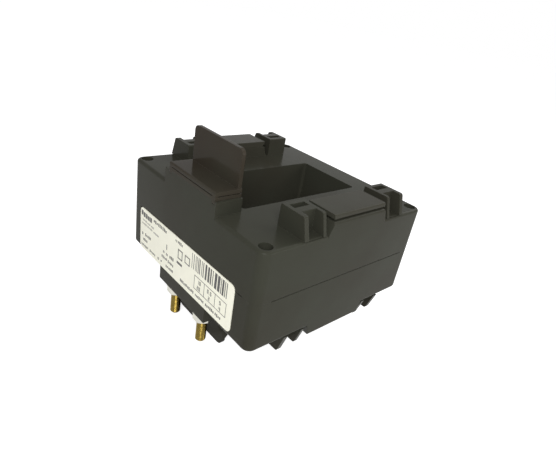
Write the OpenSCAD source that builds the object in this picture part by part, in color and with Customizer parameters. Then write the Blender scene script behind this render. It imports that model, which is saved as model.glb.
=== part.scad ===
// Window-type current transformer for a flat busbar.
// Millimetres, +Z along the busbar. The origin is the centre of the busbar
// window, on the parting plane of the two housing shells. The rating-plate
// face looks along -Y.

/* [Housing] */
// Height of one housing shell, without what stands on it
half_h = 23; // [21:0.5:40]
// Radius of the four upright corners
corner_r = 4; // [3.6:0.1:5]
// Radius round the outer edge of each flat face
edge_r = 1.5; // [0.5:0.1:1.6]
// Thickness of the moulded walls
wall = 2.5; // [1.8:0.1:3]
// Height of the shadow groove along the parting line, on each shell
seam_h = 0.2; // [0.1:0.05:0.6]
// Depth of the shadow groove along the parting line
seam_d = 0.4; // [0.1:0.05:0.8]
// Distance from each corner at which the shadow groove stops
seam_end = 8; // [4:0.5:20]

/* [Busbar window] */
// Width of the window
win_w = 36; // [20:1:38]
// Length of the window
win_l = 71; // [50:1:72]
// Corner radius of the window
win_r = 1.5; // [0.5:0.1:3]
// Distance from the rating-plate face to the window
win_front = 15.5; // [15.5:0.1:22]
// Distance from the window to the back of the housing
win_back = 14.6; // [12.5:0.1:22]
// Distance from the window to each side of the housing
win_side = 32.5; // [29:0.5:45]

/* [Corner screws] */
// Distance of each screw axis from the two nearest sides
post_in = 4.5; // [4.4:0.1:7]
// Diameter of the open counterbore at each corner
cbore_d = 5.6; // [5.2:0.1:6]
// Depth of the counterbore above a screw head
cbore_depth = 10; // [5:0.5:14]
// Wall round each counterbore
post_wall = 1.6; // [1:0.1:3]
// Shank diameter of the screws
screw_d = 3; // [2.5:0.1:3.2]
// Head diameter of the screws
screw_head_d = 5.2; // [4.8:0.1:5.2]
// Head height of the screws
screw_head_h = 2.4; // [1.5:0.1:4]
// Length of the brass insert that takes each screw
insert_l = 8; // [4:0.5:9]
// Outer diameter of that insert
insert_d = 4.8; // [4.4:0.1:5.2]

/* [Bracket bosses] */
// Distance from the rating-plate face to the first boss
boss_front = 20; // [18:0.5:24]
// Length of a boss along the side
boss_l = 12; // [10:0.5:14]
// Width of a boss at its foot, from the side inwards
boss_w = 16; // [15.5:0.5:20]
// Height of a boss above the flat face
boss_h = 9.4; // [7.4:0.1:12]
// How far the outer side of a boss leans in at its top
boss_lean = 3; // [0:0.1:4]
// Radius of the top outer edge of a boss
boss_edge_r = 1.2; // [0.4:0.1:2]
// Length of the bracket slot in the top of a boss
slot_l = 8; // [5:0.5:8.5]
// Width of the bracket slot
slot_w = 3.2; // [2:0.1:4]
// Distance from the inner side of a boss to its slot
slot_in = 2.3; // [1.5:0.1:4]
// Depth of the bracket slot
slot_depth = 8.4; // [4:0.1:9]
// Depth of the open notch, from the side of the housing inwards
notch_in = 7; // [4:0.5:8]
// Wall of a boss between its notch and the nearer end face
notch_wall = 2.3; // [1.5:0.1:3]
// Rib of a boss between its notch and the land
notch_rib = 1.7; // [1.2:0.1:3]

/* [Side lands] */
// Length of the land between two bosses, at its foot
land_l = 37; // [30:0.5:40]
// Height of the land
land_h = 5.3; // [4.5:0.1:7]
// Groove between the land and each boss, at its foot
land_groove = 1.5; // [1:0.1:3]
// How far each end of the land leans in at its top
land_lean = 2; // [0:0.1:3]
// Radius of the outer edge of the land
land_edge_r = 1.2; // [0.5:0.1:2]
// Thickness of the whole cap on each upper land
cap_h = 3; // [2.4:0.1:4]
// Height of the recessed foot of that cap
cap_foot_h = 1.1; // [0.6:0.1:1.4]
// How far the foot stays back under the rim of the cap
cap_foot_in = 1; // [0.4:0.1:2]
// How far the cap stays back from the side of the housing
cap_in = 0.8; // [0.4:0.1:2]
// How far the cap stays back from the inner side of the land
cap_gap = 0.3; // [0.2:0.05:0.5]
// Radius of the top outer edge of the cap
cap_edge_r = 1; // [0.3:0.1:1.4]
// Diameter of the two pegs of a cap
peg_d = 3; // [2:0.1:5]
// Length of the pegs
peg_l = 4; // [2:0.1:4.4]

/* [Terminal block] */
// Width of a terminal block
block_w = 40; // [38:1:44]
// Depth of a terminal block from the rating-plate face
block_d = 12.7; // [12:0.1:13]
// Height of a terminal block above the flat face
block_h = 6.2; // [5:0.1:8]
// Diameter of a terminal stud
stud_d = 5; // [4:0.5:5]
// How much thinner its rolled shank is, from the head through the nut
stud_neck = 0.6; // [0.6:0.1:0.9]
// How far the thin shank shows past the nut
stud_bare = 0.4; // [0.2:0.1:1]
// Distance between the two terminal studs
stud_gap = 24; // [20:1:24]
// Distance of the studs from the rating-plate face
stud_in = 5.3; // [5.3:0.1:5.8]
// Length of a stud below the flat face of the lower shell
stud_out = 23.7; // [18:0.1:30]
// Chamfer at the free end of a stud
stud_tip = 0.7; // [0.2:0.1:1]
// Size across the flats of a stud head
stud_head_af = 8; // [7:0.5:8]
// Height of a stud head
stud_head_h = 3.5; // [2.5:0.1:4]
// Size across the flats of a terminal nut
nut_af = 8; // [8:0.5:9]
// Height of a terminal nut
nut_h = 4; // [3:0.1:5]
// Diameter of a terminal washer
washer_d = 10; // [9:0.5:10]
// Thickness of a terminal washer
washer_h = 1; // [0.5:0.1:1.5]
// Diameter of the threaded bushes in the upper block
bush_d = 7.4; // [6.5:0.1:7.6]
// Length of those bushes
bush_l = 5.2; // [4:0.1:5.2]
// Head diameter of an upper terminal screw
tscrew_head_d = 7; // [6:0.1:7.4]
// Head height of an upper terminal screw
tscrew_head_h = 2.6; // [1.5:0.1:2.8]
// Shank diameter of an upper terminal screw
tscrew_d = 4; // [3:0.5:4]

/* [Barrier] */
// Distance from the rating-plate face to the barrier on the lower shell
barrier_in = 12; // [11.9:0.1:12.6]
// Height of the barrier above the flat face
barrier_h = 25.2; // [15:0.1:35]
// Thickness of the barrier
barrier_t = 1.8; // [1.2:0.1:2.4]
// Radius of the two free corners of the barrier
barrier_r = 4; // [0.5:0.1:5]
// Thickness of the brace at each end of the barrier
brace_t = 1.7; // [1:0.1:2]
// Height of a brace where it meets the barrier
brace_h = 21; // [8:0.5:21]
// Length of a brace along the window
brace_l = 20; // [6:0.5:24]

/* [Terminal cover] */
// Width of the cover
cover_w = 35.4; // [33:0.1:37]
// Shift of the cover from the middle, towards the right
cover_shift = 1.2; // [0:0.1:2]
// Thickness of the cover plate
cover_t = 1.7; // [1.2:0.1:3]
// Radius of the front edge of the plate
cover_edge_r = 0.7; // [0.2:0.1:1]
// Height of the skirt that sits on the block
skirt_h = 1.5; // [0.8:0.1:3]
// Thickness of the skirt
skirt_t = 1.9; // [1.4:0.1:2.4]
// Height of the groove between the skirt and the plate
groove_h = 0.4; // [0.2:0.1:0.8]
// Depth of that groove
groove_in = 0.6; // [0.2:0.1:0.9]
// Height of the upright tab of the cover, from the flat face
tab_h = 26; // [14:0.5:35]
// Thickness of the tab
tab_t = 1.8; // [1.2:0.1:2.4]
// How far each side of the tab stays back from the plate
tab_in = 0.6; // [0:0.1:2]
// Radius of the two free corners of the tab
tab_r = 2.5; // [0.5:0.1:5]
// Width of the two hooks at the front corners
hook_w = 2; // [1.5:0.1:3]
// Reach of the hooks below the top of the block
hook_h = 1.2; // [0.8:0.1:3]
// Thickness of the hooks
hook_t = 1.2; // [0.8:0.1:1.6]
// Clearance round the hooks in their seats
hook_gap = 0.15; // [0.1:0.05:0.3]

/* [Core and windings] */
// Height of the core along the busbar
core_h = 30; // [20:0.5:31]
// Clear distance between the end legs of the core and the walls round them
core_end = 1.25; // [1:0.05:1.6]
// Wall of the insulating core caps
tray_t = 0.8; // [0.5:0.1:0.9]
// Thickness of a winding
winding_t = 4.2; // [2:0.1:4.4]
// Length of a winding along its leg
winding_l = 60; // [30:1:62]
// Outer corner radius of a winding
winding_r = 3; // [1:0.1:4]
// Length of the four moulded rests that hold the core
rest_l = 2.4; // [1.5:0.1:3]
// Diameter of the insulated leads
lead_d = 1.6; // [1:0.1:2.4]
// Side of the square lugs at the ends of the leads
lug_w = 5; // [4:0.1:5.2]
// Thickness of the lugs
lug_t = 0.8; // [0.5:0.1:1.2]

/* [Rating plate] */
// Width of the rating plate
plate_w = 80; // [50:1:84]
// Height of the rating plate
plate_h = 22.6; // [10:0.1:22.8]
// Thickness of the rating plate
plate_t = 0.3; // [0.2:0.05:0.5]
// Corner radius of the rating plate
plate_r = 2.5; // [0.5:0.1:4]
// Shift of the rating plate from the middle, towards the left
plate_shift = 1.5; // [0:0.1:4]
// Height of its middle below the parting plane
plate_drop = 10.2; // [9.5:0.1:11.5]
// Tilt of the rating plate in degrees, rising to the right
plate_tilt = 1.1; // [0:0.1:1.5]

/* [Hidden] */
$fn = 48;
// small overlap that keeps joined volumes and cuts clean
e = 0.01;
// fit clearance of screws, studs and inserts in their holes
fit = 0.15;
body_w = win_w + 2 * win_side;
body_l = win_front + win_l + win_back;
front = -win_l / 2 - win_front;
back = front + body_l;
mid_y = (front + back) / 2;
side = body_w / 2;
inner_z = half_h - wall;
boss_y1 = front + boss_front;
land_y = boss_y1 + boss_l + land_groove;
boss_y2 = land_y + land_l + land_groove;
block_back = front + block_d;
barrier_back = front + barrier_in + barrier_t;
block_top = half_h + block_h;
stud_y = front + stud_in;
stud_x = stud_gap / 2;
stud_shank = block_h + washer_h + nut_h + stud_bare;
shoulder_z = half_h - cbore_depth;
shank_len = shoulder_z + insert_l - 1;
core_b = win_back - 2 * wall - 2 * core_end;
core_x = (side + win_w / 2 - core_b) / 2;
core_y = win_l / 2 + wall + core_end;
tray_z = core_h / 2 + tray_t;
leg_x = core_x + core_b / 2;
lead_z = inner_z - lug_t - lead_d / 4;
cover_z = block_top + skirt_h + groove_h;

// Flat rectangle about the origin with round corners
module round_rect(w, l, r) {
    square([w - 2 * r, l], center = true);
    square([w, l - 2 * r], center = true);
    for (sx = [-1, 1], sy = [-1, 1]) translate([sx * (w / 2 - r), sy * (l / 2 - r)]) circle(r);
}

// Straight round bar between two points
module bar(a, b, d) {
    v = b - a;
    n = norm(v);
    translate(a) rotate([0, acos(v[2] / n), atan2(v[1], v[0])]) cylinder(d = d, h = n);
}

// Round wire through a list of points
module wire(points, d) {
    for (i = [0:len(points) - 2]) bar(points[i], points[i + 1], d);
    if (len(points) > 2) for (i = [1:len(points) - 2]) translate(points[i]) sphere(d = d);
}

// Section of the solid shell across its width or length
module shell_section(w) {
    translate([-w / 2, 0]) square([w, half_h - edge_r]);
    translate([-w / 2 + edge_r, 0]) square([w - 2 * edge_r, half_h]);
    for (s = [-1, 1]) translate([s * (w / 2 - edge_r), half_h - edge_r]) circle(edge_r);
}

// Solid half body with round upright corners and a round top edge
module shell_block() {
    translate([0, mid_y, 0]) {
        rotate([90, 0, 0]) linear_extrude(body_l - 2 * corner_r, center = true)
            shell_section(body_w);
        rotate([90, 0, 90]) linear_extrude(body_w - 2 * corner_r, center = true)
            shell_section(body_l);
        for (sx = [-1, 1], sy = [-1, 1])
            translate([sx * (side - corner_r), sy * (body_l / 2 - corner_r), 0])
                rotate_extrude() {
                    square([corner_r, half_h - edge_r]);
                    square([corner_r - edge_r, half_h]);
                    translate([corner_r - edge_r, half_h - edge_r]) circle(edge_r);
                }
    }
}

// Shadow groove along the straight runs of the parting line
module seam_groove() {
    for (s = [-1, 1]) {
        translate([0, mid_y + s * body_l / 2, 0])
            cube([body_w - 2 * seam_end, 2 * seam_d, 2 * seam_h], center = true);
        translate([s * side, mid_y, 0])
            cube([2 * seam_d, body_l - 2 * seam_end, 2 * seam_h], center = true);
    }
}

// Places one corner screw axis after another
module at_corners() {
    for (sx = [-1, 1], y = [front + post_in, back - post_in])
        translate([sx * (side - post_in), y, 0]) children();
}

// Inner space of a shell, less the window collar, the posts and the core rests
module shell_cavity() {
    difference() {
        translate([0, mid_y, -1]) linear_extrude(inner_z + 1)
            round_rect(body_w - 2 * wall, body_l - 2 * wall, corner_r - wall + 0.5);
        translate([0, 0, -2]) linear_extrude(half_h + 2)
            round_rect(win_w + 2 * wall, win_l + 2 * wall, win_r + wall);
        at_corners() translate([0, 0, -2])
            cylinder(d = cbore_d + 2 * post_wall, h = half_h + 2);
        for (sx = [-1, 1], y = [-core_y - rest_l, core_y + core_b - rest_l])
            translate([sx * (core_x - 2) - 1.5, y, tray_z])
                cube([3, rest_l, inner_z - tray_z + 1]);
    }
}

// Side view of a boss, from its inner foot to the leaning outer side
module boss_section() {
    a = atan2(boss_h, boss_lean);
    r = boss_edge_r;
    cx = boss_w - boss_lean - r * tan(a / 2);
    polygon(concat([[0, -e], [boss_w - 0.1, -e]],
        [for (k = [0:6]) let (t = 90 - a + k * a / 6)
            [cx + r * cos(t), boss_h - r + r * sin(t)]],
        [[0.4, boss_h], [0, boss_h - 0.4]]));
}

// One bracket boss on the right side, with its rib towards +Y
module boss() {
    translate([side - boss_w, boss_l, half_h]) rotate([90, 0, 0]) linear_extrude(boss_l)
        boss_section();
}

// What is cut from that boss: the blind slot and the open notch
module boss_cuts() {
    translate([side - boss_w + slot_in, (boss_l - slot_l) / 2, half_h + boss_h - slot_depth])
        cube([slot_w, slot_l, boss_h]);
    translate([side - notch_in, notch_wall, half_h])
        cube([notch_in + 1, boss_l - notch_wall - notch_rib, boss_h + 1]);
}

// Places the four bosses of a shell, mirrored so the ribs face the lands
module at_bosses() {
    for (m = [0, 1]) mirror([m, 0, 0]) {
        translate([0, boss_y1, 0]) children();
        translate([0, boss_y2 + boss_l, 0]) mirror([0, 1, 0]) children();
    }
}

// The raised land between two bosses on the right side
module land() {
    inner = side - boss_w;
    difference() {
        translate([inner, land_y + land_l / 2, half_h]) rotate([90, 0, 90])
            linear_extrude(boss_w) polygon([[-land_l / 2, -edge_r], [land_l / 2, -edge_r],
                [land_l / 2, 0], [land_l / 2 - land_lean, land_h],
                [land_lean - land_l / 2, land_h], [-land_l / 2, 0]]);
        translate([side - land_edge_r, land_y - 1, half_h + land_h - land_edge_r])
            rotate([-90, 0, 0]) difference() {
                translate([0, -2 * land_edge_r, 0]) cube([2 * land_edge_r, 2 * land_edge_r,
                    land_l + 2]);
                translate([0, 0, -1]) cylinder(r = land_edge_r, h = land_l + 4);
            }
    }
}

// Positions of the two pegs of a land cap
module at_pegs() {
    for (k = [0.2, 0.8])
        translate([side - boss_w / 2, land_y + k * land_l, half_h + land_h]) children();
}

// Places the two front corners of the cover
module at_hooks() {
    for (s = [-1, 1])
        translate([cover_shift + s * (cover_w / 2 - hook_w / 2), front, block_top]) children();
}

// Upright barrier between the studs and the window, with a brace at each end
module barrier() {
    w = block_w - 2 * barrier_r;
    translate([0, barrier_back, half_h]) rotate([90, 0, 0]) linear_extrude(barrier_t) {
        translate([-block_w / 2, -e]) square([block_w, barrier_h - barrier_r]);
        translate([-w / 2, -e]) square([w, barrier_h + e]);
        for (s = [-1, 1]) translate([s * w / 2, barrier_h - barrier_r]) circle(barrier_r);
    }
    for (x = [-block_w / 2, block_w / 2 - brace_t])
        translate([x, barrier_back - 0.5, half_h]) rotate([90, 0, 90]) linear_extrude(brace_t)
            polygon([[0, -e], [brace_l, -e], [brace_l, 0.4], [0.5, brace_h], [0, brace_h]]);
}

// Everything that both shells share, drawn as the upper one
module half_shell() {
    difference() {
        union() {
            shell_block();
            at_bosses() boss();
            for (m = [0, 1]) mirror([m, 0, 0]) land();
            translate([-block_w / 2, front, half_h - edge_r])
                cube([block_w, block_d, block_h + edge_r]);
        }
        seam_groove();
        shell_cavity();
        translate([0, 0, -1]) linear_extrude(half_h + 3) round_rect(win_w, win_l, win_r);
        at_bosses() boss_cuts();
        for (m = [0, 1]) mirror([m, 0, 0]) at_pegs()
            translate([0, 0, -peg_l - 0.4]) cylinder(d = peg_d + 2 * fit, h = peg_l + 2);
        at_corners() translate([0, 0, shoulder_z]) cylinder(d = cbore_d, h = half_h);
        at_corners() translate([0, 0, -1]) cylinder(d = screw_d + 2 * fit, h = half_h);
    }
}

module upper_shell() {
    color([0.13, 0.12, 0.11]) difference() {
        half_shell();
        for (s = [-1, 1]) translate([s * stud_x, stud_y, 0]) {
            translate([0, 0, inner_z - 1]) cylinder(d = bush_d + 2 * fit, h = bush_l + 1);
            translate([0, 0, inner_z]) cylinder(d = tscrew_head_d + 4 * fit, h = half_h);
        }
        at_hooks() translate([-hook_w / 2 - hook_gap, -1, -hook_h - hook_gap])
            cube([hook_w + 2 * hook_gap, hook_t + hook_gap + 1, half_h]);
    }
}

module lower_shell() {
    color([0.13, 0.12, 0.11]) mirror([0, 0, 1]) difference() {
        union() {
            half_shell();
            barrier();
        }
        for (s = [-1, 1]) translate([s * stud_x, stud_y, inner_z - 1]) {
            cylinder(d = (stud_head_af + 2 * fit) / cos(30), h = stud_head_h + 1, $fn = 6);
            cylinder(d = stud_d + 2 * fit, h = half_h);
        }
        at_corners() translate([0, 0, -1]) cylinder(d = insert_d + 2 * fit, h = insert_l + 1);
    }
}

// Frame of the cover over the terminals, its outer side d inside the plate
module cover_frame(d, h) {
    w = cover_w - 2 * skirt_t;
    linear_extrude(h) difference() {
        translate([d - cover_w / 2, d]) square([cover_w - 2 * d, block_d - 2 * d]);
        translate([-w / 2, skirt_t]) square([w, block_d - 2 * skirt_t]);
    }
}

// Cover plate with its skirt, its hooks and the upright tab at its rear
module terminal_cover() {
    w = cover_w - 2 * tab_in;
    h = tab_h + half_h - cover_z;
    color([0.22, 0.19, 0.16]) {
        translate([cover_shift, front, 0]) {
            translate([-cover_w / 2, 0, cover_z]) rotate([90, 0, 90]) linear_extrude(cover_w) {
                square([block_d, cover_t - cover_edge_r]);
                translate([cover_edge_r, 0]) square([block_d - cover_edge_r, cover_t]);
                translate([cover_edge_r, cover_t - cover_edge_r]) circle(cover_edge_r);
            }
            translate([0, 0, block_top]) cover_frame(0, skirt_h);
            translate([0, 0, block_top + skirt_h - e]) cover_frame(groove_in, groove_h + 2 * e);
            translate([0, block_d, cover_z]) rotate([90, 0, 0]) linear_extrude(tab_t) {
                translate([-w / 2, 0]) square([w, h - tab_r]);
                translate([-w / 2 + tab_r, 0]) square([w - 2 * tab_r, h]);
                for (s = [-1, 1]) translate([s * (w / 2 - tab_r), h - tab_r]) circle(tab_r);
            }
        }
        at_hooks() translate([-hook_w / 2, 0, -hook_h])
            cube([hook_w, hook_t, hook_h + skirt_h + groove_h + e]);
    }
}

// Snap-in cap that closes the land on the right side
module land_cap() {
    w = boss_w - cap_in - cap_gap;
    l = land_l - 2 * land_lean;
    translate([side - boss_w + cap_gap, land_y + land_lean, half_h + land_h]) {
        translate([0, cap_foot_in, 0])
            cube([w - cap_foot_in, l - 2 * cap_foot_in, cap_foot_h + e]);
        translate([0, l, cap_foot_h]) rotate([90, 0, 0]) linear_extrude(l) {
            square([w, cap_h - cap_foot_h - cap_edge_r]);
            square([w - cap_edge_r, cap_h - cap_foot_h]);
            translate([w - cap_edge_r, cap_h - cap_foot_h - cap_edge_r]) circle(cap_edge_r);
        }
    }
    at_pegs() translate([0, 0, -peg_l]) cylinder(d = peg_d, h = peg_l + cap_foot_h);
}
module land_cap_right() { color([0.2, 0.2, 0.19]) land_cap(); }
module land_cap_left() { color([0.2, 0.2, 0.19]) mirror([1, 0, 0]) land_cap(); }

module rating_plate() {
    color([0.95, 0.95, 0.93]) translate([-plate_shift, front, -plate_drop])
        rotate([90, 0, 0]) rotate(plate_tilt) linear_extrude(plate_t)
            round_rect(plate_w, plate_h, plate_r);
}

// Rectangular ring round the window: its inner half sizes grow by g
module ring(g, b) {
    difference() {
        round_rect(2 * (core_x + g + b), 2 * (core_y + g + b), 3 + b);
        round_rect(2 * (core_x + g), 2 * (core_y + g), 3);
    }
}

module core() {
    color([0.55, 0.56, 0.58]) linear_extrude(core_h, center = true) ring(0, core_b);
}

// One insulating tray over half the height of the core
module core_cap() {
    difference() {
        linear_extrude(tray_z) ring(-tray_t, core_b + 2 * tray_t);
        translate([0, 0, -1]) linear_extrude(core_h / 2 + 1) ring(0, core_b);
    }
}
module core_cap_upper() { color([0.85, 0.8, 0.65]) core_cap(); }
module core_cap_lower() { color([0.85, 0.8, 0.65]) mirror([0, 0, 1]) core_cap(); }

// Winding round the right leg of the core
module winding() {
    translate([leg_x, 0, 0]) rotate([90, 0, 0]) linear_extrude(winding_l, center = true)
        difference() {
            round_rect(core_b + 2 * tray_t + 2 * winding_t, 2 * tray_z + 2 * winding_t,
                winding_r);
            square([core_b + 2 * tray_t, 2 * tray_z], center = true);
        }
}
module winding_right() { color([0.7, 0.4, 0.2]) winding(); }
module winding_left() { color([0.7, 0.4, 0.2]) mirror([1, 0, 0]) winding(); }

module winding_link() {
    z = tray_z + lead_d / 2 + 0.3;
    y = core_y + lead_d;
    color([0.7, 0.15, 0.1]) wire([[-leg_x, winding_l / 2, z], [-leg_x, y, z],
        [leg_x, y, z], [leg_x, winding_l / 2, z]], lead_d);
}

// Lead from one winding to a terminal, drawn at the upper right
module lead() {
    translate([stud_x - lug_w / 2, stud_y - lug_w / 2, inner_z - lug_t])
        cube([lug_w, lug_w, lug_t]);
    wire([[stud_x, stud_y, lead_z], [leg_x, stud_y, lead_z], [leg_x, -winding_l / 2, lead_z]],
        lead_d);
}
module lead_s2_upper() { color([0.1, 0.1, 0.6]) lead(); }
module lead_s1_upper() { color([0.7, 0.15, 0.1]) mirror([1, 0, 0]) lead(); }
module lead_s2_lower() { color([0.1, 0.1, 0.6]) mirror([0, 0, 1]) lead(); }
module lead_s1_lower() { color([0.7, 0.15, 0.1]) rotate([0, 180, 0]) lead(); }

// Terminal stud with a hexagon head inside the housing, at the lower side
module stud(s) {
    color([0.8, 0.65, 0.3]) translate([s * stud_x, stud_y, -inner_z]) mirror([0, 0, 1]) {
        cylinder(d = stud_head_af / cos(30), h = stud_head_h, $fn = 6);
        cylinder(d = stud_d - stud_neck, h = wall + stud_out - stud_tip);
        translate([0, 0, wall + stud_shank]) cylinder(d = stud_d, h = stud_out - stud_shank - stud_tip);
        translate([0, 0, wall + stud_out - stud_tip - e])
            cylinder(d1 = stud_d, d2 = stud_d - 2 * stud_tip, h = stud_tip + e);
    }
}
module stud_s1() { stud(-1); }
module stud_s2() { stud(1); }

module washer(s) {
    color([0.8, 0.8, 0.8]) translate([s * stud_x, stud_y, -block_top - washer_h]) difference() {
        cylinder(d = washer_d, h = washer_h);
        translate([0, 0, -1]) cylinder(d = stud_d + 2 * fit, h = washer_h + 2);
    }
}
module washer_s1() { washer(-1); }
module washer_s2() { washer(1); }

// Hexagon nut with both faces chamfered
module nut(s) {
    color([0.85, 0.85, 0.85])
        translate([s * stud_x, stud_y, -block_top - washer_h - nut_h]) difference() {
            intersection() {
                cylinder(d = nut_af / cos(30), h = nut_h, $fn = 6);
                rotate_extrude() polygon([[0, 0], [nut_af / 2, 0], [nut_af / 2 + 0.7, 0.4],
                    [nut_af / 2 + 0.7, nut_h - 0.4], [nut_af / 2, nut_h], [0, nut_h]]);
            }
            translate([0, 0, -1]) cylinder(d = stud_d + 0.1, h = nut_h + 2);
        }
}
module nut_s1() { nut(-1); }
module nut_s2() { nut(1); }

module terminal_bushes() {
    color([0.8, 0.65, 0.3]) for (s = [-1, 1]) translate([s * stud_x, stud_y, inner_z])
        difference() {
            cylinder(d = bush_d, h = bush_l);
            translate([0, 0, 1]) cylinder(d = tscrew_d + 0.1, h = bush_l);
        }
}

// Slotted screw that rests on its bush, below the top of the block
module terminal_screw(s) {
    color([0.8, 0.8, 0.8]) translate([s * stud_x, stud_y, inner_z + bush_l]) difference() {
        union() {
            cylinder(d = tscrew_head_d, h = tscrew_head_h);
            translate([0, 0, 1.4 - bush_l]) cylinder(d = tscrew_d, h = bush_l);
        }
        translate([-tscrew_head_d, -0.5, tscrew_head_h - 1]) cube([2 * tscrew_head_d, 1, 2]);
    }
}
module terminal_screw_s1() { terminal_screw(-1); }
module terminal_screw_s2() { terminal_screw(1); }

module housing_screws() {
    color([0.75, 0.75, 0.75]) at_corners() translate([0, 0, shoulder_z]) difference() {
        union() {
            cylinder(d = screw_head_d, h = screw_head_h);
            translate([0, 0, -shank_len]) cylinder(d = screw_d, h = shank_len + 1);
        }
        for (a = [0, 90]) rotate(a) translate([-1.6, -0.35, screw_head_h - 1.2])
            cube([3.2, 0.7, 2]);
    }
}

module screw_inserts() {
    color([0.8, 0.65, 0.3]) at_corners() translate([0, 0, -insert_l]) difference() {
        cylinder(d = insert_d, h = insert_l);
        translate([0, 0, -1]) cylinder(d = screw_d + 0.1, h = insert_l + 2);
    }
}

upper_shell();
lower_shell();
terminal_cover();
land_cap_left();
land_cap_right();
rating_plate();
core();
core_cap_upper();
core_cap_lower();
winding_left();
winding_right();
winding_link();
lead_s1_lower();
lead_s2_lower();
lead_s1_upper();
lead_s2_upper();
stud_s1();
stud_s2();
washer_s1();
washer_s2();
nut_s1();
nut_s2();
terminal_bushes();
terminal_screw_s1();
terminal_screw_s2();
housing_screws();
screw_inserts();
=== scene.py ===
import math

import bpy
import numpy as np
from mathutils import Matrix, Vector


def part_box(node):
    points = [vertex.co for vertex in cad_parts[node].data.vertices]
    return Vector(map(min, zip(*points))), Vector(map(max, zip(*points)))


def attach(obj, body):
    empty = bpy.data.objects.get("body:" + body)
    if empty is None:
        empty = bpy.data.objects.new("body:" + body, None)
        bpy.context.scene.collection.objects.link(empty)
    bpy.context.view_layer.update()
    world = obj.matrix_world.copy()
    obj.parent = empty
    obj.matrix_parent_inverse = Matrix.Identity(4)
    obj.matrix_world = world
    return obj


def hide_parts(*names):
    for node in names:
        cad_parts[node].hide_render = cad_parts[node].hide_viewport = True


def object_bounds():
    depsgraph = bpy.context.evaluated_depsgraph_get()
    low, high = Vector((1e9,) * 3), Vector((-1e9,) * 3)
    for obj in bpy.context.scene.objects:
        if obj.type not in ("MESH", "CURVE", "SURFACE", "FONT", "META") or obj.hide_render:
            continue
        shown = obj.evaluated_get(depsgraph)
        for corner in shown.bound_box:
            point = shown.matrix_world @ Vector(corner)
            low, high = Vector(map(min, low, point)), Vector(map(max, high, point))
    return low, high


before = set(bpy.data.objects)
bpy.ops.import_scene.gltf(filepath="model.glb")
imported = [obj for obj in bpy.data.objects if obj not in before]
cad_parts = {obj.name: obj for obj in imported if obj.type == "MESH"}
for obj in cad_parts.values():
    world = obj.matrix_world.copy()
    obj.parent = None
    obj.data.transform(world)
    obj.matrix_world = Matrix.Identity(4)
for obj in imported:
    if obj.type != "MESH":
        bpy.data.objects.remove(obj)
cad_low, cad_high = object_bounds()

MM = 0.001
TURN = 2 * math.pi


# ---------------------------------------------------------------- meshes

def new_piece(name, points, faces, material, body):
    """Turns arrays of corners and faces into an object at the origin that rides on a CAD body."""
    mesh = bpy.data.meshes.new(name)
    mesh.from_pydata(points.tolist(), [], faces)
    mesh.materials.append(material)
    mesh.update()
    piece = bpy.data.objects.new(name, mesh)
    bpy.context.scene.collection.objects.link(piece)
    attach(piece, body)
    return piece


def boxes(low, high):
    """Corners and outward faces of many axis-aligned boxes, from arrays of their lowest and
    highest corners."""
    pick = np.array([[0, 0, 0], [1, 0, 0], [1, 1, 0], [0, 1, 0],
                     [0, 0, 1], [1, 0, 1], [1, 1, 1], [0, 1, 1]])
    points = np.where(pick[None] == 1, high[:, None], low[:, None]).reshape(-1, 3)
    sides = np.array([[0, 3, 2, 1], [4, 5, 6, 7], [0, 1, 5, 4],
                      [1, 2, 6, 5], [2, 3, 7, 6], [3, 0, 4, 7]])
    faces = (sides[None] + len(pick) * np.arange(len(low))[:, None, None]).reshape(-1, 4)
    return points, faces


def tube_faces(rows, columns):
    """Faces of a grid of rows whose columns close into a ring, outward when rows rise and
    columns turn left."""
    r, c = np.meshgrid(np.arange(rows - 1), np.arange(columns), indexing="ij")
    n = (c + 1) % columns
    return np.stack([r * columns + c, r * columns + n, (r + 1) * columns + n,
                     (r + 1) * columns + c], -1).reshape(-1, 4)


# ---------------------------------------------------------------- material nodes

def material_nodes(name):
    """A new material, its node tree and its shader."""
    material = bpy.data.materials.new(name)
    material.use_nodes = True
    tree = material.node_tree
    return material, tree, tree.nodes["Principled BSDF"]


def node(tree, kind, **values):
    """Adds one node and sets its inputs, given by name, and its own properties."""
    made = tree.nodes.new(kind)
    for key, value in values.items():
        if key in made.inputs:
            made.inputs[key].default_value = value
        else:
            setattr(made, key, value)
    return made


def object_noise(tree, scale, detail, roughness=0.55):
    """Noise in object coordinates; scale counts its patches per metre."""
    place = node(tree, "ShaderNodeTexCoord")
    noise = node(tree, "ShaderNodeTexNoise", Scale=scale, Detail=detail, Roughness=roughness)
    tree.links.new(place.outputs["Object"], noise.inputs["Vector"])
    return noise.outputs["Fac"]


def ramp(tree, source, stops):
    """A colour ramp through the given (position, colour) stops."""
    made = tree.nodes.new("ShaderNodeValToRGB")
    items = made.color_ramp.elements
    while len(items) < len(stops):
        items.new(0.5)
    for item, (position, colour) in zip(items, stops):
        item.position = position
        item.color = (*colour, 1.0)
    tree.links.new(source, made.inputs["Fac"])
    return made.outputs["Color"]


def remap(tree, source, low, high):
    """Maps 0..1 to low..high."""
    made = node(tree, "ShaderNodeMapRange")
    made.inputs["To Min"].default_value = low
    made.inputs["To Max"].default_value = high
    tree.links.new(source, made.inputs["Value"])
    return made.outputs["Result"]


def bump(tree, source, strength, distance, before=None):
    """The normal of a surface raised by source, on top of the normal given as before."""
    made = node(tree, "ShaderNodeBump", Strength=strength, Distance=distance)
    tree.links.new(source, made.inputs["Height"])
    if before is not None:
        tree.links.new(before, made.inputs["Normal"])
    return made.outputs["Normal"]


def set_shader(tree, shader, links, **constants):
    """Joins sockets to the shader's inputs and sets its constant inputs."""
    for key, socket in links.items():
        tree.links.new(socket, shader.inputs[key])
    for key, value in constants.items():
        shader.inputs[key.replace("_", " ")].default_value = value


# ---------------------------------------------------------------- materials

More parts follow.
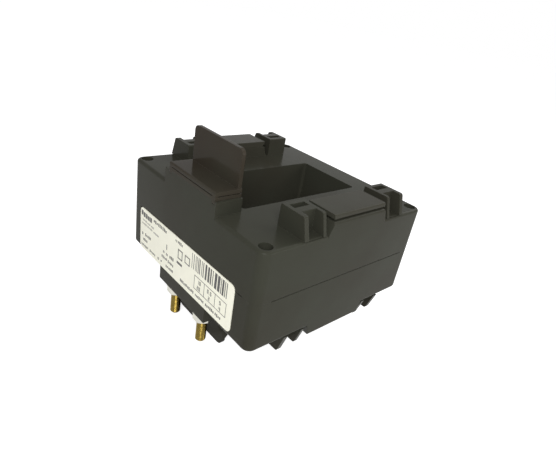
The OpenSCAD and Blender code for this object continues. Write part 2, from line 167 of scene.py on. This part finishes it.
def moulded_plastic(name, colour, roughness, warmth=0.0):
    """Moulded plastic: a slow drift from a warmer, darker tone to a cooler one, a fine spark-eroded
    grain, a slight change of gloss and softly rounded edges."""
    material, tree, shader = material_nodes(name)
    base = np.array(colour)
    warm = base * np.array([1.0 + 0.3 * warmth, 1.0 - warmth, 1.0 - 1.1 * warmth])
    drift = object_noise(tree, scale=22.0, detail=3.0)
    skin = object_noise(tree, scale=2600.0, detail=2.0)
    flow = object_noise(tree, scale=220.0, detail=3.0)
    corner = node(tree, "ShaderNodeBevel", samples=4, Radius=0.3 * MM)
    grain = bump(tree, skin, strength=0.1, distance=0.06 * MM, before=corner.outputs["Normal"])
    set_shader(tree, shader, {
        "Base Color": ramp(tree, drift, [(0.38, warm * 0.94), (0.62, base * 1.06)]),
        "Roughness": remap(tree, flow, roughness - 0.05, roughness + 0.05),
        "Normal": bump(tree, flow, strength=0.12, distance=0.25 * MM, before=grain),
    }, Specular_IOR_Level=0.03)
    return material


def machined_metal(name, colour, roughness):
    """Turned metal: bright base, cloudy tarnish and fine turning marks."""
    material, tree, shader = material_nodes(name)
    base = np.array(colour)
    cloud = object_noise(tree, scale=420.0, detail=5.0)
    marks = object_noise(tree, scale=900.0, detail=2.0)
    set_shader(tree, shader, {
        "Base Color": ramp(tree, cloud, [(0.3, base * 0.86), (0.62, base), (0.9, base * 1.06)]),
        "Roughness": remap(tree, cloud, roughness - 0.06, roughness + 0.08),
        "Normal": bump(tree, marks, strength=0.2, distance=0.03 * MM),
    }, Metallic=1.0)
    return material


def printed_film(name, colour):
    """White printed film: faint mottling and a satin face."""
    material, tree, shader = material_nodes(name)
    base = np.array(colour)
    mottle = object_noise(tree, scale=260.0, detail=4.0)
    fibre = object_noise(tree, scale=1800.0, detail=3.0)
    set_shader(tree, shader, {
        "Base Color": ramp(tree, mottle, [(0.25, base * 0.955), (0.75, base)]),
        "Normal": bump(tree, fibre, strength=0.08, distance=0.03 * MM),
    }, Roughness=0.42)
    return material


def print_ink(name, colour):
    """Thermal print: dark with lighter specks where the ribbon missed."""
    material, tree, shader = material_nodes(name)
    base = np.array(colour)
    specks = object_noise(tree, scale=3200.0, detail=2.0)
    set_shader(tree, shader, {
        "Base Color": ramp(tree, specks, [(0.35, base), (0.68, base * 1.6 + 0.03)]),
    }, Roughness=0.5)
    return material


def wound_tape(name, colour):
    """Varnished tape wound round the winding: overlapping turns along Y with dark edges."""
    material, tree, shader = material_nodes(name)
    base = np.array(colour)
    place = node(tree, "ShaderNodeTexCoord")
    turns = node(tree, "ShaderNodeTexWave", wave_type="BANDS", bands_direction="Y",
                 wave_profile="SAW", Scale=45.0, Distortion=0.4)
    tree.links.new(place.outputs["Object"], turns.inputs["Vector"])
    lap = turns.outputs["Fac"]
    set_shader(tree, shader, {
        "Base Color": ramp(tree, lap, [(0.0, base * 0.6), (0.12, base), (1.0, base * 1.15)]),
        "Normal": bump(tree, lap, strength=0.6, distance=0.2 * MM),
    }, Roughness=0.38)
    return material


def strip_steel(name, colour):
    """Strip-wound core: fine lines of the wound layers."""
    material, tree, shader = material_nodes(name)
    base = np.array(colour)
    layers = object_noise(tree, scale=1500.0, detail=3.0)
    set_shader(tree, shader, {
        "Base Color": ramp(tree, layers, [(0.3, base * 0.7), (0.7, base)]),
        "Normal": bump(tree, layers, strength=0.4, distance=0.05 * MM),
    }, Metallic=0.9, Roughness=0.36)
    return material


HOUSING = moulded_plastic("housing_black", (0.0388, 0.0396, 0.0298), 0.2, warmth=0.05)
COVER = moulded_plastic("cover_brown_black", (0.0418, 0.0378, 0.0282), 0.13, warmth=0.08)
CAPS = moulded_plastic("cap_black", (0.0445, 0.0452, 0.0345), 0.22, warmth=0.06)
FILM = printed_film("plate_film", (0.96, 0.945, 0.80))
INK = print_ink("plate_ink", (0.035, 0.033, 0.032))
GREY_INK = print_ink("plate_ink_fine", (0.07, 0.068, 0.063))
LIGHT_INK = print_ink("plate_ink_light", (0.24, 0.235, 0.215))
# painted shade: the brass base colour is kept far darker than real brass, to stand in for the dark
# surroundings that the studs mirror
BRASS = machined_metal("turned_brass", (0.20, 0.143, 0.032), 0.2)
NICKEL = machined_metal("nickel_plate", (0.56, 0.55, 0.49), 0.3)
TAPE = wound_tape("winding_tape", (0.55, 0.32, 0.14))
STEEL = strip_steel("core_strip", (0.45, 0.46, 0.48))
TRAY = moulded_plastic("tray_cream", (0.70, 0.64, 0.48), 0.5)
RED = moulded_plastic("lead_red", (0.5, 0.07, 0.04), 0.4)
BLUE = moulded_plastic("lead_blue", (0.05, 0.08, 0.42), 0.4)

NODE_FINISH = {
    "upper_shell": HOUSING, "lower_shell": HOUSING, "terminal_cover": COVER,
    "land_cap_left": CAPS, "land_cap_right": CAPS, "rating_plate": FILM,
    "core": STEEL, "core_cap_upper": TRAY, "core_cap_lower": TRAY,
    "winding_left": TAPE, "winding_right": TAPE, "winding_link": RED,
    "lead_s1_lower": RED, "lead_s1_upper": RED, "lead_s2_lower": BLUE, "lead_s2_upper": BLUE,
    "stud_s1": BRASS, "stud_s2": BRASS, "terminal_bushes": BRASS, "screw_inserts": BRASS,
    "washer_s1": NICKEL, "washer_s2": NICKEL, "nut_s1": NICKEL, "nut_s2": NICKEL,
    "terminal_screw_s1": NICKEL, "terminal_screw_s2": NICKEL, "housing_screws": NICKEL,
}


def dress_cad_nodes():
    """Gives every CAD node its finish."""
    for name, finish_of_node in NODE_FINISH.items():
        cad_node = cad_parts[name]
        if not cad_node.material_slots:
            cad_node.data.materials.append(finish_of_node)
        for entry in cad_node.material_slots:
            entry.material = finish_of_node


# ---------------------------------------------------------------- rating plate print

# All places on the plate are in mm from its left end (u) and from its lower edge (v).
PLATE_W, PLATE_H, PLATE_TILT = 80.0, 22.6, math.radians(1.1)
PRINT_RISE, PRINT_ROOT = 0.02 * MM, 0.05 * MM    # above and below the plate's face
FIGURE_W, FIGURE_H, FIGURE_STROKE, FIGURE_GAP = 1.0, 1.9, 0.34, 0.4
FIGURE_SEGMENTS = {"0": "abcdef", "1": "bc", "2": "abged", "4": "fgbc", "5": "afgcd"}


def plate_marks(name, fields, material):
    """Printed fields: thin boxes on the plate's face, each from (u0, u1, v0, v1), turned with the
    plate: x = cx + du cos t - dv sin t, z = cz + du sin t + dv cos t, with du and dv the
    distances from the plate's middle. The boxes' second coordinate picks the end of the print, 0
    the outer and 1 the inner."""
    low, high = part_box("rating_plate")
    f = np.asarray(fields, float)
    outer_end, inner_end = np.zeros(len(f)), np.ones(len(f))
    lows = np.stack([f[:, 0] - PLATE_W / 2, outer_end, f[:, 2] - PLATE_H / 2], -1)
    highs = np.stack([f[:, 1] - PLATE_W / 2, inner_end, f[:, 3] - PLATE_H / 2], -1)
    flat, faces = boxes(lows, highs)
    depth = np.array([low[1] - PRINT_RISE, low[1] + PRINT_ROOT])
    du, dv = flat[:, 0] * MM, flat[:, 2] * MM
    c, s = math.cos(PLATE_TILT), math.sin(PLATE_TILT)
    points = np.stack([(low[0] + high[0]) / 2 + du * c - dv * s, depth[flat[:, 1].astype(int)],
                       (low[2] + high[2]) / 2 + du * s + dv * c], -1)
    return new_piece(name, points, faces.tolist(), material, "root")


def word(u0, u1, v0, v1, seed, cell=0.5, gap=0.22):
    """A word of print as a row of small plain upright blocks of slightly different heights; cell
    and gap are a block's width and the space after it, as shares of the word's height."""
    dice = np.random.RandomState(seed)
    tall = v1 - v0
    count = max(1, int(round((u1 - u0 + gap * tall) / (tall * (cell + gap)))))
    step = (u1 - u0 + gap * tall) / count
    low = v0 + tall * dice.choice([0.0, 0.0, 0.15], count)
    high = v0 + tall * dice.choice([1.0, 0.85, 0.75], count)
    left = u0 + step * np.arange(count)
    return [(u, u + step - gap * tall, a, b) for u, a, b in zip(left, low, high)]


def words(rows, seed):
    """Many words, each (u0, u1, v0, v1)."""
    fields = []
    for k, row in enumerate(rows):
        fields += word(*row, seed + k)
    return fields


def segment_figure(figure, u, v):
    """One seven-segment figure as thin strokes; u, v is its lower left corner."""
    w, h, t = FIGURE_W, FIGURE_H, FIGURE_STROKE
    middle = v + h / 2
    strokes = {
        "a": (u, u + w, v + h - t, v + h), "g": (u, u + w, middle - t / 2, middle + t / 2),
        "d": (u, u + w, v, v + t), "f": (u, u + t, middle, v + h),
        "b": (u + w - t, u + w, middle, v + h), "e": (u, u + t, v, middle),
        "c": (u + w - t, u + w, v, middle),
    }
    return [strokes[s] for s in FIGURE_SEGMENTS[figure]]


def number(text, u, v):
    """A number of seven-segment figures; u, v is its lower left corner."""
    fields = []
    for figure in text:
        if figure == ".":
            fields.append((u, u + FIGURE_STROKE, v, v + FIGURE_STROKE))
            u += FIGURE_STROKE + FIGURE_GAP
        else:
            fields += segment_figure(figure, u, v)
            u += FIGURE_W + FIGURE_GAP
    return fields


def outline(u0, u1, v0, v1, t):
    """The four strokes of a rectangle."""
    return [(u0, u1, v0, v0 + t), (u0, u1, v1 - t, v1), (u0, u0 + t, v0, v1), (u1 - t, u1, v0, v1)]


def rating_table():
    """A table of three columns with two plain numbers each."""
    fields = outline(52.05, 76.2, 5.25, 12.15, 0.3)
    fields += [(59.85, 60.15, 5.25, 12.15), (68.05, 68.35, 5.25, 12.15)]
    fields += number("10", 54.9, 9.1) + number("20", 54.6, 6.1) + number("0.5", 62.4, 8.95)
    fields += number("2", 63.5, 6.0) + number("5", 71.4, 8.85) + number("4", 71.4, 5.9)
    return fields


def fine_words():
    """Small grey words: the top line, the middle lines and the bottom line."""
    return words([(13.75, 17.8, 19.6, 21.4), (18.4, 21.9, 19.6, 21.4), (22.5, 26.4, 19.6, 21.4),
                  (34.8, 36.2, 19.8, 21.2), (36.9, 41.0, 19.8, 21.3), (5.3, 11.3, 8.1, 9.8),
                  (2.0, 3.1, 7.8, 9.8), (3.4, 7.7, 5.0, 6.5), (23.9, 25.2, 8.5, 9.9),
                  (26.9, 28.4, 8.4, 9.9), (30.2, 33.9, 8.5, 10.2), (22.8, 27.9, 5.3, 6.9),
                  (28.8, 33.9, 5.3, 6.9), (1.5, 8.5, 1.6, 3.0), (10.6, 16.2, 1.8, 3.2),
                  (18.9, 20.3, 2.0, 3.4), (21.9, 23.1, 2.2, 3.4), (27.1, 29.0, 2.1, 3.6),
                  (29.7, 33.9, 2.2, 3.6), (40.6, 52.2, 2.0, 3.5), (53.6, 60.4, 2.0, 3.5),
                  (61.8, 68.3, 2.0, 3.5), (69.2, 73.2, 1.9, 3.5)], 20)


def light_words():
    """Two faint lines under the bold word."""
    return words([(2.4, 6.6, 15.9, 17.0), (7.2, 10.4, 15.8, 16.9), (11.0, 14.0, 15.8, 16.9),
                  (1.8, 6.6, 13.9, 15.0), (7.5, 12.6, 13.9, 15.0), (13.8, 19.2, 13.8, 14.9)], 60)


def upright_bars():
    """A row of 18 upright bars of mixed widths, as (faint, dark): the first five are fainter."""
    count, faint_count, start, reach = 18, 5, 49.2, 27.2
    dice = np.random.RandomState(11)
    wide = dice.choice([0.4, 0.6, 0.9, 1.25], count, p=[0.3, 0.3, 0.2, 0.2])
    wide[:faint_count] = [0.4, 0.5, 0.35, 0.4, 0.6]
    wide[11:] *= 1.3
    space = dice.choice([0.45, 0.65, 0.95], count)
    steps = wide + space
    left = start + np.concatenate([[0.0], np.cumsum(steps)[:-1]]) * reach / steps.sum()
    faint = [(u, u + w, 14.1, 21.6) for u, w in zip(left[:faint_count], wide[:faint_count])]
    dark = [(u, u + w, 14.2, 21.6) for u, w in zip(left[faint_count:], wide[faint_count:])]
    return faint, dark


def plate_print():
    """Everything printed on the plate: bold word, rating table, bars, small words, two empty
    frames and plain strokes."""
    bold = word(1.0, 11.9, 18.2, 21.2, seed=3, cell=0.62, gap=0.13)
    bold += [(36.8, 41.4, 9.7, 10.95)] + rating_table()
    fine = fine_words()
    fine += outline(37.4, 41.4, 12.6, 17.5, 0.6) + outline(43.4, 47.7, 13.4, 17.5, 0.55)
    fine += [(26.9, 27.6, 11.4, 14.2)]
    faint_bars, dark_bars = upright_bars()
    plate_marks("plate_print_bold", bold, INK)
    plate_marks("plate_print_bars", dark_bars, INK)
    plate_marks("plate_print_fine", fine + faint_bars, GREY_INK)
    plate_marks("plate_print_light", light_words(), LIGHT_INK)


# ---------------------------------------------------------------- terminal studs

THREAD_R, THREAD_PITCH, THREAD_DEPTH = 2.5 * MM, 0.8 * MM, 0.22 * MM
STUD_HEAD, STUD_PLAIN, STUD_TIP = 3.5 * MM, 5 * MM, 0.75 * MM
ROWS_A_PITCH, STUD_COLUMNS = 10, 36


def threaded_stud(name, replaced):
    """A stud with a rolled thread: at height z and angle a the radius is the outer radius less the
    thread's depth times a rounded triangle wave of (z / pitch - a / turn), faded out at the smooth
    shank and cut down by the chamfer at the tip. The head is a ring of six corners, closed by flat
    ends."""
    low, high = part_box(replaced)
    cx, cy = (low[0] + high[0]) / 2, (low[1] + high[1]) / 2
    tip, top = low[2], high[2]
    neck = top - STUD_HEAD
    rows = int((neck - tip) / THREAD_PITCH * ROWS_A_PITCH) + 1
    z = np.linspace(tip, neck, rows)[:, None]
    a = np.linspace(0, TURN, STUD_COLUMNS, endpoint=False)[None, :]
    phase = (z / THREAD_PITCH - a / TURN) % 1.0
    crest = np.clip(np.abs(2 * phase - 1) * 1.25 - 0.12, 0, 1)
    fade = np.clip((neck - STUD_PLAIN - z) / MM, 0, 1)
    chamfer = THREAD_R - STUD_TIP + (z - tip)
    radius = np.minimum(THREAD_R - THREAD_DEPTH * (1 - crest) * fade, chamfer)
    shank = np.stack([cx + radius * np.cos(a), cy + radius * np.sin(a), z + 0 * a], -1)
    shank = shank.reshape(-1, 3)
    centres = np.array([[cx, cy, tip], [cx, cy, neck]])
    corner_r = (high[1] - low[1]) / 2 / math.cos(math.pi / 6)
    h = np.arange(6) * math.pi / 3
    ring = np.stack([cx + corner_r * np.cos(h), cy + corner_r * np.sin(h)], -1)
    head = np.vstack([np.column_stack([ring, np.full(6, neck)]),
                      np.column_stack([ring, np.full(6, top)])])

    c = np.arange(STUD_COLUMNS)
    n = (c + 1) % STUD_COLUMNS
    last, centre = (rows - 1) * STUD_COLUMNS, len(shank)
    tip_fan = np.stack([n, c, np.full(STUD_COLUMNS, centre)], -1)
    neck_fan = np.stack([last + c, last + n, np.full(STUD_COLUMNS, centre + 1)], -1)
    base = centre + len(centres)
    head_ends = [list(range(base + 5, base - 1, -1)), list(range(base + 6, base + 12))]
    faces = tube_faces(rows, STUD_COLUMNS).tolist() + tip_fan.tolist() + neck_fan.tolist()
    faces += head_ends + (base + tube_faces(2, 6)).tolist()
    piece = new_piece(name, np.vstack([shank, centres, head]), faces, BRASS, "root")
    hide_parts(replaced)
    return piece


# ---------------------------------------------------------------- floor, light and camera

DOME = 0.34          # strength of the white world as a light
FLOOR_LIFT = 0.73    # glow that makes the lit floor look white; about 1 - 0.8 * DOME
FLOOR_DROP = 0.2 * MM
FLOOR_REACH = 6.0
WHITE = (1, 1, 1, 1)


def seen_rays(tree):
    """1 for camera, glossy and transmission rays, 0 for the rays that only light things."""
    path = node(tree, "ShaderNodeLightPath")
    first = node(tree, "ShaderNodeMath", operation="MAXIMUM")
    tree.links.new(path.outputs["Is Camera Ray"], first.inputs[0])
    tree.links.new(path.outputs["Is Glossy Ray"], first.inputs[1])
    second = node(tree, "ShaderNodeMath", operation="MAXIMUM")
    tree.links.new(first.outputs[0], second.inputs[0])
    tree.links.new(path.outputs["Is Transmission Ray"], second.inputs[1])
    return second.outputs[0]


def seen_or_lighting(tree, lighting, seen, output):
    """Shows one shader to the rays that see things and the other to the rays that light them."""
    pick = node(tree, "ShaderNodeMixShader")
    tree.links.new(seen_rays(tree), pick.inputs["Fac"])
    tree.links.new(lighting.outputs[0], pick.inputs[1])
    tree.links.new(seen.outputs[0], pick.inputs[2])
    tree.links.new(pick.outputs[0], tree.nodes[output].inputs["Surface"])


def studio_world():
    """A white background that lights the part less than it shows."""
    world = bpy.data.worlds.new("studio")
    bpy.context.scene.world = world
    world.use_nodes = True
    tree = world.node_tree
    dome = tree.nodes["Background"]
    dome.inputs["Color"].default_value = WHITE
    dome.inputs["Strength"].default_value = DOME
    white = node(tree, "ShaderNodeBackground", Color=WHITE, Strength=1.0)
    seen_or_lighting(tree, dome, white, "World Output")


def studio_floor():
    """A pale floor just under the part; it looks white to the camera and keeps the shadow."""
    level = cad_low[2] - FLOOR_DROP
    points = [(x, y, level) for x, y in ((-FLOOR_REACH, -FLOOR_REACH), (FLOOR_REACH, -FLOOR_REACH),
                                         (FLOOR_REACH, FLOOR_REACH), (-FLOOR_REACH, FLOOR_REACH))]
    mesh = bpy.data.meshes.new("floor")
    mesh.from_pydata(points, [], [(0, 1, 2, 3)])
    floor = bpy.data.objects.new("floor", mesh)
    bpy.context.scene.collection.objects.link(floor)
    material, tree, shader = material_nodes("floor_white")
    shader.inputs["Base Color"].default_value = (0.8, 0.8, 0.8, 1)
    shader.inputs["Roughness"].default_value = 0.9
    shader.inputs["Specular IOR Level"].default_value = 0.0
    glow = node(tree, "ShaderNodeEmission", Color=WHITE, Strength=FLOOR_LIFT)
    both = node(tree, "ShaderNodeAddShader")
    tree.links.new(shader.outputs[0], both.inputs[0])
    tree.links.new(glow.outputs[0], both.inputs[1])
    seen_or_lighting(tree, shader, both, "Material Output")
    mesh.materials.append(material)


def soft_lamp(name, place, power, size):
    """A square soft box that looks at the middle of the part; place and size are in metres."""
    lamp = bpy.data.lights.new(name, "AREA")
    lamp.energy = power
    lamp.size = size
    lit = bpy.data.objects.new(name, lamp)
    lit.location = place
    lit.rotation_euler = (-Vector(place)).to_track_quat("-Z", "Y").to_euler()
    bpy.context.scene.collection.objects.link(lit)


def studio_camera():
    """A camera at the chosen viewing angle, with its lens and a slight roll."""
    right = Vector((0.6446630, 0.7468051, 0.1633760))
    down = Vector((0.4339871, -0.1815835, -0.8824299))
    ahead = Vector((-0.6293368, 0.6397730, -0.4411640))
    eye = Vector((143.79, -141.79, 99.53)) * MM
    data = bpy.data.cameras.new("camera")
    data.sensor_width = 36.0
    data.lens = 28.40
    data.clip_start = 0.01
    camera = bpy.data.objects.new("camera", data)
    camera.matrix_world = Matrix((
        (right.x, -down.x, -ahead.x, eye.x),
        (right.y, -down.y, -ahead.y, eye.y),
        (right.z, -down.z, -ahead.z, eye.z),
        (0, 0, 0, 1)))
    bpy.context.scene.collection.objects.link(camera)
    bpy.context.scene.camera = camera


# ---------------------------------------------------------------- build

dress_cad_nodes()
plate_print()
threaded_stud("threaded_stud_s1", "stud_s1")
threaded_stud("threaded_stud_s2", "stud_s2")

studio_world()
studio_floor()
soft_lamp("lamp_front", (0.32, -0.29, 0.31), power=2.05, size=0.25)
soft_lamp("lamp_right", (0.60, 0.35, 0.15), power=1.1, size=0.3)
soft_lamp("lamp_back", (0.05, 0.55, 0.50), power=1.6, size=0.4)
studio_camera()
bpy.context.scene.view_settings.view_transform = "Standard"
